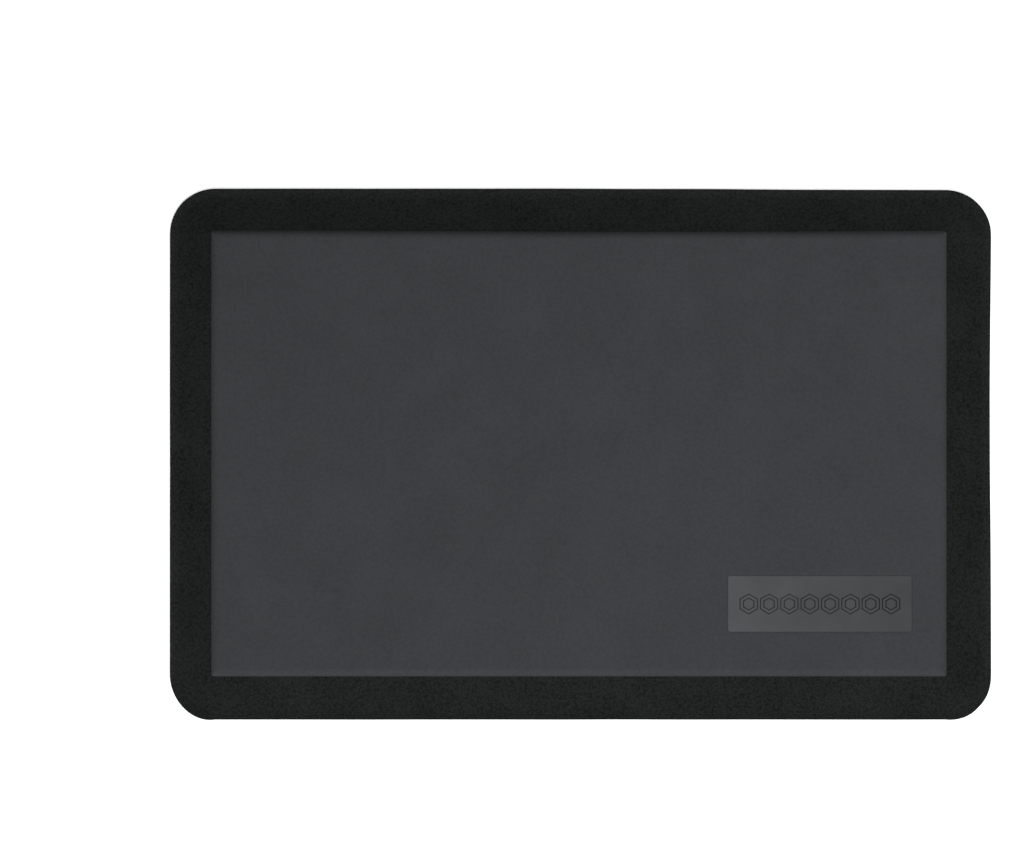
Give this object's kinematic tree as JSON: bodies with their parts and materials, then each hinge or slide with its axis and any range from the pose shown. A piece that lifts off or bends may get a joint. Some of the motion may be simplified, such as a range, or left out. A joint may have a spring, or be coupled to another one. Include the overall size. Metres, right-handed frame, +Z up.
{
  "type": "anti-fatigue mat",
  "caption": "Rectangular cushioned standing mat with a fine-grained flat tread, a sloping bevelled border with rounded corners, and a small label plate near one corner.",
  "frame": {"origin": "on the floor, under the middle of the mat", "axes": "+Z up out of the tread, +X along the long side towards the end that carries the label plate, +Y across the mat away from the label plate"},
  "size_m": [0.8636, 0.5588, 0.0191],
  "materials": {
    "border_black": "matte pebbled polyurethane skin",
    "panel_grey": "matte fine-grained polyurethane skin",
    "label_satin": "smooth satin polyurethane skin",
    "foam_soft": "open-pored polyurethane foam",
    "foam_firm": "dense polyurethane foam",
    "base_rubber": "matte non-slip sheet"
  },
  "bodies": {
    "root": {"bevel_border": "border_black", "centre_panel": "panel_grey", "label_plate": "label_satin", "comfort_foam": "foam_soft", "support_foam": "foam_firm", "base_sheet": "base_rubber"}
  },
  "joints": []
}
